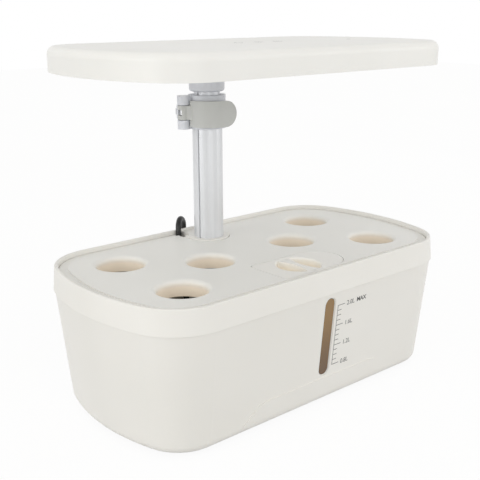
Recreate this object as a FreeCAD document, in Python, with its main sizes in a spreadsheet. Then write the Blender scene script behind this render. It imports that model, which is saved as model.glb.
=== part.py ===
"""Countertop hydroponic garden: water tank, six-hole planting deck, telescopic mast and lamp head.

Millimetres, +Z up. The origin is on the supporting surface under the middle of the tank.
The front, with the water gauge, faces -Y and the mast stands near the rear wall.
"""
import FreeCAD
import Part
import math
import os
import re
import Sketcher
from FreeCAD import Placement, Rotation, Vector

# Driving dimensions in millimetres, and directions in degrees
SIZES = {
    # Tank plan at the rim: straight long sides, bowed ends and tangent corners
    "rim_half_length": 132.0,  # middle of the tank to the end of the rim
    "rim_half_width": 71.2,  # middle of the tank to the long side of the rim
    "rim_corner": 36.0,  # corner radius of the rim
    "end_radius": 152.0,  # radius of the bowed ends
    # Tank heights and walls
    "rim_height": 94.0,  # supporting surface to the rim
    "foot_stand": 1.0,  # height of the tank floor over the supporting surface
    "floor_thick": 2.6,  # tank floor
    "tank_wall": 2.4,  # tank side wall
    "base_inset": 7.4,  # how far the tank floor is drawn in from the rim
    "base_round": 6.0,  # outer rounding of the floor edge
    "band_low": 78.3,  # lower edge of the band round the rim
    "band_flare": 1.4,  # how far the lower edge of the band stands out from the rim
    "band_step": 0.9,  # step from the band to the wall below it
    "rim_wall": 2.4,  # rim beside the deck
    "rim_round": 0.8,  # rounding of the rim
    "ledge_width": 2.4,  # ledge under the edge of the deck
    "ledge_slope": 3.0,  # height of the slope under the ledge
    # Planting deck
    "deck_drop": 2.2,  # rim down to the top of the deck
    "deck_thick": 2.5,  # deck plate
    "deck_gap": 0.5,  # gap between the deck and the rim
    "seat_gap": 0.3,  # rest clearance under a piece that lifts off
    "field_inset": 5.5,  # edge of the deck to its raised field
    "field_step": 0.8,  # rise of the field over the deck edge
    "pod_radius": 15.6,  # inner radius of a pod hole
    "pod_lip": 3.1,  # rounding of the mouth of a pod hole
    "pod_wall": 1.6,  # wall of a pod sleeve
    "pod_depth": 10.4,  # length of a pod sleeve from the top of the deck
    "pod_outer_x": 85.0,  # outer pod holes from the middle, along the tank
    "pod_outer_y": 33.0,  # outer pod holes from the middle, across the tank
    "pod_inner_x": 37.0,  # inner pod holes from the middle, along the tank
    "rib_thick": 1.6,  # stiffening rib under the deck
    "rib_depth": 5.0,  # depth of a rib under the deck
    # Filler opening and its cover
    "filler_x": 3.4,  # middle of the filler cover, along the tank
    "filler_inset": 26.9,  # middle of the filler cover from the rim of the front wall
    "filler_half_length": 30.6,  # half length of the filler cover
    "filler_half_width": 17.0,  # half width of the filler cover, radius of its round end
    "filler_corner": 3.5,  # corners of the square end of the cover
    "cover_thick": 1.3,  # plate of the filler cover
    "cover_gap": 0.45,  # gap round the filler cover
    "cover_ledge": 1.3,  # ledge under the filler cover
    "grip_radius": 14.6,  # radius of the finger recess in the cover
    "grip_lip": 1.5,  # rounding of the mouth of the finger recess
    "grip_drop": 0.5,  # top of the grip bar below the deck
    "grip_depth": 8.0,  # depth of the finger recess
    "grip_wall": 0.9,  # wall of the finger recess
    "grip_shift": -3.4,  # middle of the finger recess from the middle of the cover
    "grip_waist": 2.2,  # half thickness of the grip bar at its waist
    "grip_end": 5.4,  # half thickness of the grip bar at its ends
    # Mast tower inside the tank
    "mast_inset": 23.7,  # mast axis from the rim of the rear wall
    "tower_radius": 14.5,  # rounded front of the mast tower
    "tower_top": 92.6,  # supporting surface to the top of the mast tower
    "tower_gap": 0.5,  # gap between the tower and the deck
    "channel_left": 15.6,  # left side of the lead channel beside the tower
    "channel_right": 9.4,  # right side of the lead channel
    "channel_inset": 14.2,  # front of the lead channel from the rim of the rear wall
    "socket_floor": 8.0,  # height at which the mast stands in its tower
    "socket_fit": 0.08,  # radial fit of the mast in its tower
    # Mast tubes
    "outer_radius": 10.5,  # outer radius of the fixed tube
    "outer_wall": 1.2,  # wall of the fixed tube
    "outer_top": 186.0,  # top of the fixed tube
    "inner_radius": 9.0,  # outer radius of the sliding tube
    "inner_wall": 1.1,  # wall of the sliding tube
    "inner_low": 62.0,  # lower end of the sliding tube
    "key_angle": 195.0,  # direction of the key groove round the mast
    "key_half": 1.2,  # half width of the key inside the fixed tube
    "key_depth": 1.0,  # depth of the key and of its groove
    "slide_gap": 0.3,  # clearance round the key
    "slider_fit": 0.06,  # radial fit of the slider in the fixed tube
    "slider_height": 8.0,  # height of the slider under the sliding tube
    # Flip-lock clamp
    "clamp_low": 170.5,  # lower face of the clamp collar
    "clamp_high": 193.2,  # upper face of the clamp collar
    "clamp_radius": 13.0,  # outer radius of the clamp collar
    "clamp_slit": 1.4,  # slit of the clamp collar
    "clamp_fit": 0.05,  # radial fit of the collar on the fixed tube
    "pin_x": -17.5,  # clamp pin from the mast axis, along the tank
    "pin_y": 4.0,  # clamp pin from the mast axis, across the tank
    "pin_radius": 1.25,  # clamp pin
    "lug_radius": 4.2,  # rounded end of the lugs
    "lug_height": 6.2,  # height of each lug
    "ear_thick": 2.4,  # free ear that the tension bolt pulls
    "ear_reach": 2.0,  # end of the free ear beyond the pin
    "nut_thick": 1.6,  # nut of the tension bolt
    "nut_half": 2.1,  # half width of the nut
    "bolt_half": 0.9,  # half width of the tension bolt
    "bolt_end": 0.5,  # end of the tension bolt beyond its nut
    "lever_low": 172.2,  # lower edge of the lever
    "lever_high": 190.0,  # upper edge of the lever
    "lever_thick": 2.2,  # plate of the lever
    "lever_gap": 0.4,  # gap between the lever and the collar
    "lever_front": 3.0,  # middle of the lever's curve in front of the mast axis
    "lever_reach": 11.2,  # tip of the lever from the mast axis, along the tank
    "run_gap": 0.4,  # running gap between lever, lugs and lead
    # Lamp head
    "head_half_length": 127.0,  # middle of the head to its end
    "head_half_width": 72.2,  # middle of the head to its long side
    "head_corner": 34.0,  # corner radius of the head
    "head_end_radius": 150.0,  # radius of the bowed ends of the head
    "head_low": 214.0,  # underside of the head
    "head_high": 229.4,  # top of the head
    "head_round": 5.0,  # rounding of the top edge
    "head_wall": 2.0,  # walls of the head shell
    "frame_gap": 0.3,  # gap between the shell and the bottom frame
    "frame_thick": 2.0,  # bottom frame
    "glow_half_length": 98.0,  # half length of the light window
    "glow_half_width": 42.0,  # half width of the light window
    "glow_y": -14.0,  # middle of the light window, across the head
    "glow_corner": 8.0,  # corners of the light window
    "glow_lip": 3.0,  # flange of the diffuser behind the window
    "fence_wall": 1.4,  # fence round the diffuser
    "fence_gap": 0.3,  # gap inside the fence
    "diffuser_thick": 1.5,  # flange of the diffuser
    "board_rise": 6.0,  # light board over the underside of the head
    "board_thick": 1.2,  # printed boards
    "chip_half": 1.5,  # half width of a light chip
    "chip_height": 0.8,  # height of a light chip
    "chip_pitch_x": 15.5,  # light chips along the board
    "chip_pitch_y": 15.5,  # light chips across the board
    "collar_radius": 12.3,  # collar under the head
    "collar_low": 195.6,  # lower edge of the collar under the head
    "boss_radius": 12.0,  # tube boss inside the head
    "boss_gap": 0.06,  # radial fit of the sliding tube in collar and boss
    "touch_half_length": 26.0,  # half length of the touch panel
    "touch_half_width": 8.0,  # half width of the touch panel
    "touch_thick": 0.4,  # touch panel film
    "touch_x": 5.0,  # touch panel from the middle, along the head
    "lamp_x": 83.0,  # indicator from the middle, along the head
    "lamp_y": -7.0,  # indicator from the middle, across the head
    "lamp_radius": 1.5,  # indicator lens
    # Water gauge
    "gauge_x": 2.5,  # middle of the gauge window
    "gauge_half": 4.2,  # half width of the gauge window
    "gauge_low": 24.2,  # centre of the lower round end of the window, up the wall
    "gauge_top": 69.9,  # centre of the upper round end of the window, up the wall
    "gauge_bevel": 0.6,  # bevel round the gauge window
    "lens_gap": 0.35,  # gap round the raised pane of the lens
    "lens_flange": 3.2,  # flange of the lens behind the wall
    "lens_thick": 1.6,  # flange thickness of the lens
    "gasket_thick": 0.8,  # gasket between lens and wall
    "panel_foot": 65.3,  # half length of the raised front panel at its foot
    "panel_knee": 53.0,  # half length of the raised front panel at its knee
    "panel_flat": 46.0,  # half length of the straight top edge of the panel
    "panel_high": 18.0,  # height of the raised front panel up the wall
    "panel_rise": 0.5,  # how far the front panel stands out
    # Rear sockets
    "plate_x": 1.2,  # middle of the socket plate
    "plate_half": 9.6,  # half width of the socket plate
    "plate_low": 22.0,  # lower edge of the socket plate, up the wall
    "plate_high": 70.0,  # upper edge of the socket plate, up the wall
    "plate_thick": 1.6,  # socket plate
    "plate_fit": 0.2,  # gap round the socket plate
    "chamber_depth": 4.6,  # depth of the dry chamber behind the plate
    "chamber_rim": 2.6,  # seat of the plate round the chamber
    "jack_x": -0.8,  # sockets from the middle of the tank
    "pump_jack_up": 52.0,  # pump socket, up the wall
    "power_jack_up": 32.0,  # power inlet, up the wall
    "jack_radius": 4.4,  # socket body
    "jack_flange": 5.4,  # socket flange
    "jack_bore": 2.85,  # socket opening
    "jack_pin": 1.05,  # centre pin of the power inlet
    "jack_depth": 4.0,  # socket body behind the plate
    "wire_radius": 2.2,  # wire hole between chamber and mast
    # Feet and screws
    "foot_x": 94.0,  # feet from the middle, along the tank
    "foot_y": 48.0,  # feet from the middle, across the tank
    "foot_radius": 6.5,  # rubber foot
    "foot_sink": 0.8,  # how far a foot is let into the floor
    "screw_radius": 1.2,  # small screw shank
    "screw_head": 2.2,  # small screw head
    "screw_bite": 0.2,  # how much smaller a pilot hole is than its screw
    "plate_screw_inset": 2.4,  # screws of the socket plate from its ends
    "head_screw_inset": 14.0,  # end screws of the head from its ends
    "head_screw_y": 26.0,  # end screws of the head from its middle
    "side_screw_inset": 11.0,  # rear screws of the head from its rear side
    "side_screw_x": 52.0,  # rear screws of the head from its middle
    # Pump and its lead
    "pump_x": -44.0,  # pump from the middle, along the tank
    "pump_y": 26.0,  # pump from the middle, across the tank
    "pump_half_length": 18.0,  # half length of the pump
    "pump_half_width": 14.0,  # half width of the pump
    "pump_height": 24.0,  # height of the pump over its feet
    "pump_feet_height": 2.4,  # suction feet
    "pump_corner": 4.0,  # corners of the pump
    "spout_shift": 8.0,  # water outlet from the middle of the pump
    "spout_radius": 4.5,  # water outlet
    "spout_bore": 3.0,  # bore of the water outlet
    "spout_height": 9.0,  # height of the water outlet
    "gland_x": 10.0,  # lead gland from the middle of the pump, along the tank
    "gland_y": 6.0,  # lead gland from the middle of the pump, across the tank
    "gland_radius": 3.6,  # lead gland
    "gland_height": 4.0,  # height of the lead gland
    "lead_radius": 2.0,  # pump lead
    "plug_out": 5.0,  # axis of the plug's stem behind the rim
    "plug_top": 66.5,  # top of the plug's stem
    "plug_radius": 4.4,  # round grip of the plug
    "plug_grip": 9.0,  # length of the plug's grip
    "plug_stem": 15.0,  # length of the plug's stem
}

doc = FreeCAD.newDocument("HydroponicGarden")
dim = doc.addObject("Spreadsheet::Sheet", "Dim")
for row, (alias, value) in enumerate(SIZES.items(), 1):
    dim.set("A%d" % row, alias.replace("_", " "))
    dim.set("B%d" % row, str(value))
    dim.setAlias("B%d" % row, alias)
parts = []

doc.recompute()


# Places that follow from the sizes
PLACES = {
    "mast_y": "(rim_half_width - mast_inset)",
    "channel_front": "(rim_half_width - channel_inset)",
    "filler_y": "(filler_inset - rim_half_width)",
    "plug_y": "(rim_half_width + plug_out)",
    "lever_y": "(rim_half_width - mast_inset - lever_front)",
}


def ex(text):
    """Sheet form of an expression written with the bare names of sizes and places."""
    def full_name(word):
        name = word.group(0)
        return ex(PLACES[name]) if name in PLACES else "Dim." + name
    return re.sub(r"[a-z]+(?:_[a-z0-9]+)+", full_name, str(text))


def num(text):
    """Value of such an expression, for the starting place of sketch geometry."""
    value = dim.evalExpression(ex(text))
    return float(getattr(value, "Value", value))


def new_body(label):
    body = doc.addObject("PartDesign::Body", label)
    body.Label = label
    parts.append(body)
    return body


def sketch(body, name, lift="0", plane="XY_Plane"):
    """Sketch on one of the body's own origin planes, lifted along its normal."""
    made = body.newObject("Sketcher::SketchObject", name)
    origin = [f for f in body.Origin.OriginFeatures if f.Role == plane][0]
    made.AttachmentSupport = [(origin, "")]
    made.MapMode = "FlatFace"
    made.setExpression("AttachmentOffset.Base.z", ex(lift))
    return made


# The long walls lean outwards by this angle, from the floor to the band
LEAN = "atan((base_inset + band_flare - band_step) / (band_low - foot_stand))"


def wall_sketch(body, name, rear=False, out="0"):
    """Sketch on the outer face of a leaning long wall: x along the tank, y up the wall."""
    made = sketch(body, name, plane="XZ_Plane")
    side = -1 if rear else 1
    made.AttachmentOffset = Placement(Vector(0, 0, 0), Rotation(Vector(1, 0, 0), 1))
    away = "(rim_half_width - base_inset + (%s) * cos(%s))" % (out, LEAN)
    made.setExpression("AttachmentOffset.Rotation.Angle", ex("%d * %s" % (side, LEAN)))
    made.setExpression("AttachmentOffset.Base.y", ex("foot_stand - (%s) * sin(%s)" % (out, LEAN)))
    made.setExpression("AttachmentOffset.Base.z", ex("%d * %s" % (side, away)))
    return made


def fix(sk, kind, args, text):
    """Constraint with a value that follows the sheet."""
    value = num(text)
    index = sk.addConstraint(Sketcher.Constraint(kind, *args, value))
    sk.setExpression("Constraints[%d]" % index, ex(text))


def fix_point(sk, geo, point, x, y):
    fix(sk, "DistanceX", (-1, 1, geo, point), x)
    fix(sk, "DistanceY", (-1, 1, geo, point), y)


def circle(sk, x, y, radius):
    geo = sk.addGeometry(Part.Circle(Vector(num(x), num(y), 0), Vector(0, 0, 1), num(radius)))
    fix(sk, "Radius", (geo,), radius)
    fix_point(sk, geo, 3, x, y)


def outline(sk, steps):
    """Closed outline. A pair is a corner, and ("arc", x, y, turn) between two corners is an arc
    about that centre, anticlockwise for turn 1 and clockwise for turn -1."""
    corners = []
    for step in steps:
        if step[0] == "arc":
            corners[-1].append(step)
        else:
            corners.append([step])
    first = None
    last = None
    for index, corner in enumerate(corners):
        start = corner[0]
        end = corners[(index + 1) % len(corners)][0]
        a = Vector(num(start[0]), num(start[1]), 0)
        b = Vector(num(end[0]), num(end[1]), 0)
        if len(corner) == 1:
            geo = sk.addGeometry(Part.LineSegment(a, b))
            begin, finish = 1, 2
        else:
            tag, cx, cy, turn = corner[1]
            centre = Vector(num(cx), num(cy), 0)
            base = Part.Circle(centre, Vector(0, 0, 1), (a - centre).Length)
            p, q = (a, b) if turn > 0 else (b, a)
            low = math.atan2(p.y - centre.y, p.x - centre.x)
            high = math.atan2(q.y - centre.y, q.x - centre.x)
            geo = sk.addGeometry(Part.ArcOfCircle(base, low, high))
            begin, finish = (1, 2) if turn > 0 else (2, 1)
            if abs(b.y - a.y) > abs(b.x - a.x):
                fix(sk, "DistanceX", (-1, 1, geo, 3), cx)
            else:
                fix(sk, "DistanceY", (-1, 1, geo, 3), cy)
        fix_point(sk, geo, begin, start[0], start[1])
        if last is not None:
            sk.addConstraint(Sketcher.Constraint("Coincident", last[0], last[1], geo, begin))
        else:
            first = (geo, begin)
        last = (geo, finish)
    sk.addConstraint(Sketcher.Constraint("Coincident", last[0], last[1], first[0], first[1]))


def rectangle(sk, x0, x1, y0, y1):
    outline(sk, [(x0, y0), (x1, y0), (x1, y1), (x0, y1)])


def rounded(sk, x, y, half_x, half_y, corner):
    """Rectangle about a centre with four rounded corners."""
    left = "%s - (%s)" % (x, half_x)
    right = "%s + (%s)" % (x, half_x)
    low = "%s - (%s)" % (y, half_y)
    high = "%s + (%s)" % (y, half_y)
    left_in, right_in = "%s + (%s)" % (left, corner), "%s - (%s)" % (right, corner)
    low_in, high_in = "%s + (%s)" % (low, corner), "%s - (%s)" % (high, corner)
    outline(sk, [(left_in, low), (right_in, low), ("arc", right_in, low_in, 1),
                 (right, low_in), (right, high_in), ("arc", right_in, high_in, 1),
                 (right_in, high), (left_in, high), ("arc", left_in, high_in, 1),
                 (left, high_in), (left, low_in), ("arc", left_in, low_in, 1)])


def slot(sk, x, low, high, half):
    """Upright slot with round ends, from one end centre to the other."""
    left, right = "%s - (%s)" % (x, half), "%s + (%s)" % (x, half)
    outline(sk, [(right, low), (right, high), ("arc", x, high, 1),
                 (left, high), (left, low), ("arc", x, low, 1)])


def bowed(sk, grow, half_length="rim_half_length", half_width="rim_half_width",
          corner="rim_corner", end="end_radius"):
    """Plan of the tank or of the head, moved outwards by grow all round."""
    mid = "(%s - %s)" % (half_length, end)
    cy = "(%s - %s)" % (half_width, corner)
    reach = "sqrt((%s - %s)^2 - %s^2)" % (end, corner, cy)
    cx = "(%s + %s)" % (mid, reach)
    side = "(%s + %s)" % (half_width, grow)
    scale = "((%s + %s) / (%s - %s))" % (end, grow, end, corner)
    tx = "(%s + %s * %s)" % (mid, scale, reach)
    ty = "(%s * %s)" % (scale, cy)
    neg = "-%s"
    outline(sk, [(tx, neg % ty), ("arc", mid, "0", 1), (tx, ty), ("arc", cx, cy, 1),
                 (cx, side), (neg % cx, side), ("arc", neg % cx, cy, 1), (neg % tx, ty),
                 ("arc", neg % mid, "0", 1), (neg % tx, neg % ty),
                 ("arc", neg % cx, neg % cy, 1), (neg % cx, neg % side),
                 (cx, neg % side), ("arc", cx, neg % cy, 1)])


def head_plan(sk, grow):
    bowed(sk, grow, "head_half_length", "head_half_width", "head_corner", "head_end_radius")


def feature(body, kind, name, profile):
    made = body.newObject("PartDesign::" + kind, name)
    made.Profile = profile
    return made


def pad(body, sk, length, reverse=False):
    made = feature(body, "Pad", sk.Name + "_pad", sk)
    made.setExpression("Length", ex(length))
    made.Reversed = reverse
    doc.recompute()
    return made


def pocket(body, sk, length, reverse=False):
    made = feature(body, "Pocket", sk.Name + "_cut", sk)
    made.setExpression("Length", ex(length))
    made.Reversed = reverse
    doc.recompute()
    return made


def loft(body, name, plan, levels):
    """Ruled loft of one plan through (height, grow) levels."""
    sketches = []
    for index, (height, grow) in enumerate(levels):
        sk = sketch(body, "%s_%d" % (name, index), height)
        plan(sk, grow)
        sketches.append(sk)
    made = feature(body, "AdditiveLoft", name, sketches[0])
    made.Sections = sketches[1:]
    made.Ruled = True
    doc.recompute()
    return made


def dress(body, kind, name, amount, pick):
    """Fillet or Chamfer on the edges of the tip that pick accepts."""
    doc.recompute()
    tip = body.Tip
    edges = ["Edge%d" % (i + 1) for i, edge in enumerate(tip.Shape.Edges) if pick(edge)]
    made = body.newObject("PartDesign::" + kind, name)
    made.Base = (tip, edges)
    made.setExpression("Radius" if kind == "Fillet" else "Size", ex(amount))
    doc.recompute()
    return made


def flat_at(edge, height):
    """True for an edge that lies in the horizontal plane at this height."""
    box = edge.BoundBox
    return abs(box.ZMin - height) < 1e-4 and abs(box.ZMax - height) < 1e-4


def pods():
    """Middles of the six pod holes."""
    outer = [(sx, sy) for sy in ("-", "") for sx in ("-", "")]
    places = [("%spod_outer_x" % sx, "%spod_outer_y" % sy) for sx, sy in outer]
    return places + [("-pod_inner_x", "0"), ("pod_inner_x", "0")]


DECK_SEAT = "(rim_height - deck_drop - deck_thick - seat_gap)"
DECK_TOP = "(rim_height - deck_drop)"
FLOOR_TOP = "(foot_stand + floor_thick)"


def tower_outline(sk, grow):
    """Mast tower: round front about the mast, straight sides, lead channel cut from its rear left."""
    side = "(tower_radius + %s)" % grow
    rear = "(rim_half_width + 4)"
    outline(sk, [("-" + side, "mast_y"), ("arc", "0", "mast_y", 1), (side, "mast_y"),
                 (side, rear), ("-channel_right", rear), ("-channel_right", "channel_front"),
                 ("-" + side, "channel_front")])


def make_core():
    """Hollow of the tank, with the mast tower left out of it."""
    core = doc.addObject("PartDesign::Body", "tank_core")
    inner = "-(rim_wall + ledge_width)"
    slope = "((base_inset + band_flare - band_step) / (band_low - foot_stand))"
    wall_line = "((%s - foot_stand) * " + slope + " - base_inset - tank_wall)"
    bend = "(" + DECK_SEAT + " - ledge_slope - 2)"
    loft(core, "hollow", bowed, [(FLOOR_TOP, wall_line % FLOOR_TOP), (bend, wall_line % bend),
                                 (DECK_SEAT + " - 2", inner)])
    neck = sketch(core, "neck", DECK_SEAT + " - 2")
    bowed(neck, inner)
    pad(core, neck, "2.5")
    mouth = sketch(core, "mouth", DECK_SEAT)
    bowed(mouth, "-rim_wall")
    pad(core, mouth, "deck_drop + deck_thick + seat_gap + 1")
    way = sketch(core, "lead_way", DECK_SEAT + " - 8")
    rectangle(way, "-channel_left", "-channel_right", "channel_front", "rim_half_width - rim_wall")
    pad(core, way, "9")
    tower = sketch(core, "tower_plan", "tower_top")
    tower_outline(tower, "0")
    pocket(core, tower, "tower_top")
    return core


def make_tub():
    tub = new_body("tub")
    lower_top = "(band_flare - band_step)"
    loft(tub, "lower_wall", bowed, [("foot_stand", "-base_inset"), ("band_low", lower_top)])
    floor_z = num("foot_stand")
    dress(tub, "Fillet", "floor_edge", "base_round", lambda edge: flat_at(edge, floor_z))
    loft(tub, "band", bowed, [("band_low", "band_flare"), ("rim_height", "0")])
    panel = wall_sketch(tub, "front_panel", out="-0.6")
    outline(panel, [("-panel_foot", "base_round + 0.5"), ("panel_foot", "base_round + 0.5"),
                    ("panel_knee", "panel_high - 1"), ("panel_flat", "panel_high"),
                    ("-panel_flat", "panel_high"), ("-panel_knee", "panel_high - 1")])
    pad(tub, panel, "panel_rise + 0.6")
    core = make_core()
    hollow = tub.newObject("PartDesign::Boolean", "hollow_out")
    hollow.setObjects([core])
    hollow.Type = "Cut"
    doc.recompute()
    bore = sketch(tub, "mast_bore", "tower_top")
    circle(bore, "0", "mast_y", "outer_radius + socket_fit")
    pocket(tub, bore, "tower_top - socket_floor")
    window = wall_sketch(tub, "gauge_slot", out="1")
    slot(window, "gauge_x", "gauge_low", "gauge_top", "gauge_half")
    pocket(tub, window, "tank_wall + 4")
    bevel = wall_sketch(tub, "gauge_bevel_cut")
    slot(bevel, "gauge_x", "gauge_low", "gauge_top", "gauge_half + gauge_bevel")
    pocket(tub, bevel, "gauge_bevel")
    seat = wall_sketch(tub, "plate_seat", rear=True, out="1")
    rectangle(seat, "plate_x - plate_half - plate_fit", "plate_x + plate_half + plate_fit",
              "plate_low - plate_fit", "plate_high + plate_fit")
    pocket(tub, seat, "plate_thick + 1", reverse=True)
    dry = wall_sketch(tub, "dry_chamber", rear=True)
    rectangle(dry, "plate_x - plate_half + chamber_rim", "plate_x + plate_half - chamber_rim",
              "plate_low + chamber_rim + 2", "plate_high - chamber_rim - 2")
    pocket(tub, dry, "plate_thick + chamber_depth", reverse=True)
    pilots = wall_sketch(tub, "plate_pilots", rear=True)
    for up in ("plate_low + plate_screw_inset", "plate_high - plate_screw_inset"):
        circle(pilots, "plate_x", up, "screw_radius - screw_bite")
    pocket(tub, pilots, "plate_thick + 4.5", reverse=True)
    wire = sketch(tub, "wire_hole", "-(mast_y + 14)", "XZ_Plane")
    circle(wire, "plate_x", "plate_low + 10", "wire_radius")
    pocket(tub, wire, "8", reverse=True)
    feet = sketch(tub, "foot_seats", "foot_stand")
    for sx in ("", "-"):
        for sy in ("", "-"):
            circle(feet, sx + "foot_x", sy + "foot_y", "foot_radius + 0.1")
    pocket(tub, feet, "foot_sink", reverse=True)
    rim_z = num("rim_height")
    dress(tub, "Fillet", "rim_edge", "rim_round", lambda edge: flat_at(edge, rim_z))
    return tub


def make_feet():
    """Four rubber feet let into the floor."""
    feet = new_body("feet")
    sk = sketch(feet, "foot_plan")
    for sx in ("", "-"):
        for sy in ("", "-"):
            circle(sk, sx + "foot_x", sy + "foot_y", "foot_radius")
    pad(feet, sk, "foot_stand + foot_sink")
    dress(feet, "Chamfer", "foot_edge", "0.4", lambda edge: flat_at(edge, 0.0))
    return feet


def make_window():
    """Gauge lens: flange behind the wall with a raised pane in the slot, and its gasket."""
    lens = new_body("window_lens")
    flange = wall_sketch(lens, "lens_flange_plan", out="-(tank_wall + gasket_thick)")
    slot(flange, "gauge_x", "gauge_low", "gauge_top", "gauge_half + lens_flange")
    pad(lens, flange, "lens_thick", reverse=True)
    pane = wall_sketch(lens, "lens_pane", out="-(tank_wall + gasket_thick)")
    slot(pane, "gauge_x", "gauge_low", "gauge_top", "gauge_half - lens_gap")
    pad(lens, pane, "tank_wall + gasket_thick - gauge_bevel")
    gasket = new_body("window_gasket")
    ring = wall_sketch(gasket, "gasket_ring", out="-tank_wall")
    slot(ring, "gauge_x", "gauge_low", "gauge_top", "gauge_half + lens_flange - 0.5")
    slot(ring, "gauge_x", "gauge_low", "gauge_top", "gauge_half - 0.05")
    pad(gasket, ring, "gasket_thick", reverse=True)
    return lens, gasket


def make_sockets():
    """Socket plate on the rear wall with the pump socket, the power inlet and two screws."""
    plate = new_body("socket_plate")
    sk = wall_sketch(plate, "plate_plan", rear=True)
    rounded(sk, "plate_x", "(plate_low + plate_high) / 2", "plate_half", "(plate_high - plate_low) / 2", "1.5")
    for up in ("pump_jack_up", "power_jack_up"):
        circle(sk, "jack_x", up, "jack_radius + 0.05")
    for up in ("plate_low + plate_screw_inset", "plate_high - plate_screw_inset"):
        circle(sk, "plate_x", up, "screw_radius + 0.1")
    pad(plate, sk, "plate_thick")
    for label, up, pin in (("pump_socket", "pump_jack_up", False), ("power_inlet", "power_jack_up", True)):
        jack = new_body(label)
        barrel = wall_sketch(jack, label + "_barrel", rear=True)
        circle(barrel, "jack_x", up, "jack_radius")
        pad(jack, barrel, "plate_thick + jack_depth")
        flange = wall_sketch(jack, label + "_flange", rear=True)
        circle(flange, "jack_x", up, "jack_flange")
        pad(jack, flange, "1", reverse=True)
        mouth = wall_sketch(jack, label + "_mouth", rear=True, out="1")
        circle(mouth, "jack_x", up, "jack_bore")
        if pin:
            circle(mouth, "jack_x", up, "jack_pin")
        pocket(jack, mouth, "plate_thick + jack_depth", reverse=True)
    screws = new_body("socket_screws")
    shank = wall_sketch(screws, "screw_shank", rear=True)
    head = wall_sketch(screws, "screw_heads", rear=True)
    for up in ("plate_low + plate_screw_inset", "plate_high - plate_screw_inset"):
        circle(shank, "plate_x", up, "screw_radius - screw_bite")
        circle(head, "plate_x", up, "screw_head")
    pad(screws, shank, "plate_thick + 4")
    pad(screws, head, "0.8", reverse=True)
    return plate


def filler_outline(sk, grow):
    """Cover plan: square left end with small corners, round right end."""
    left = "(filler_x - filler_half_length - %s)" % grow
    left_in = "(filler_x - filler_half_length + filler_corner)"
    low, high = "(filler_y - filler_half_width - %s)" % grow, "(filler_y + filler_half_width + %s)" % grow
    low_in = "(filler_y - filler_half_width + filler_corner)"
    high_in = "(filler_y + filler_half_width - filler_corner)"
    turn = "(filler_x + filler_half_length - filler_half_width)"
    outline(sk, [(left_in, low), (turn, low), ("arc", turn, "filler_y", 1), (turn, high),
                 (left_in, high), ("arc", left_in, high_in, 1), (left, high_in),
                 (left, low_in), ("arc", left_in, low_in, 1)])


def make_deck():
    deck = new_body("deck_plate")
    edge = sketch(deck, "deck_edge", DECK_TOP + " - deck_thick")
    bowed(edge, "-(rim_wall + deck_gap)")
    pad(deck, edge, "deck_thick - field_step")
    field = sketch(deck, "deck_field", DECK_TOP + " - deck_thick")
    bowed(field, "-(rim_wall + deck_gap + field_inset)")
    pad(deck, field, "deck_thick")
    sleeves = sketch(deck, "pod_sleeves", DECK_TOP + " - pod_depth")
    for x, y in pods():
        circle(sleeves, x, y, "pod_radius + pod_wall")
    pad(deck, sleeves, "pod_depth - deck_thick / 2")
    ribs = sketch(deck, "deck_ribs", DECK_TOP + " - deck_thick - rib_depth")
    for low, high in (("-pod_outer_x + pod_radius", "-pod_inner_x - pod_radius"),
                      ("pod_inner_x + pod_radius", "pod_outer_x - pod_radius")):
        rectangle(ribs, low, high, "pod_outer_y / 2 - rib_thick / 2", "pod_outer_y / 2 + rib_thick / 2")
    pad(deck, ribs, "rib_depth + 0.5")
    well = sketch(deck, "filler_well", DECK_TOP + " - deck_thick - 1")
    filler_outline(well, "0.9 + cover_gap")
    pad(deck, well, "1.5")
    holes = sketch(deck, "pod_holes", DECK_TOP)
    for x, y in pods():
        circle(holes, x, y, "pod_radius")
    pocket(deck, holes, "pod_depth + 1")
    recess = sketch(deck, "filler_recess", DECK_TOP)
    filler_outline(recess, "cover_gap")
    pocket(deck, recess, "cover_thick + seat_gap")
    opening = sketch(deck, "filler_opening", DECK_TOP)
    filler_outline(opening, "-cover_ledge")
    pocket(deck, opening, "deck_thick + 2")
    notch = sketch(deck, "tower_notch", DECK_TOP + " + 1")
    side = "(tower_radius + tower_gap)"
    outline(notch, [("-" + side, "mast_y"), ("arc", "0", "mast_y", 1), (side, "mast_y"),
                    (side, "rim_half_width + 4"), ("-(channel_left + tower_gap)", "rim_half_width + 4"),
                    ("-(channel_left + tower_gap)", "channel_front - tower_gap"),
                    ("-" + side, "channel_front - tower_gap")])
    pocket(deck, notch, "deck_thick + 8")
    top_z = num(DECK_TOP)
    lip = num("pod_radius")
    dress(deck, "Fillet", "pod_lips", "pod_lip",
          lambda edge: flat_at(edge, top_z) and hasattr(edge.Curve, "Radius")
          and abs(edge.Curve.Radius - lip) < 1e-4)
    return deck


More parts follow.
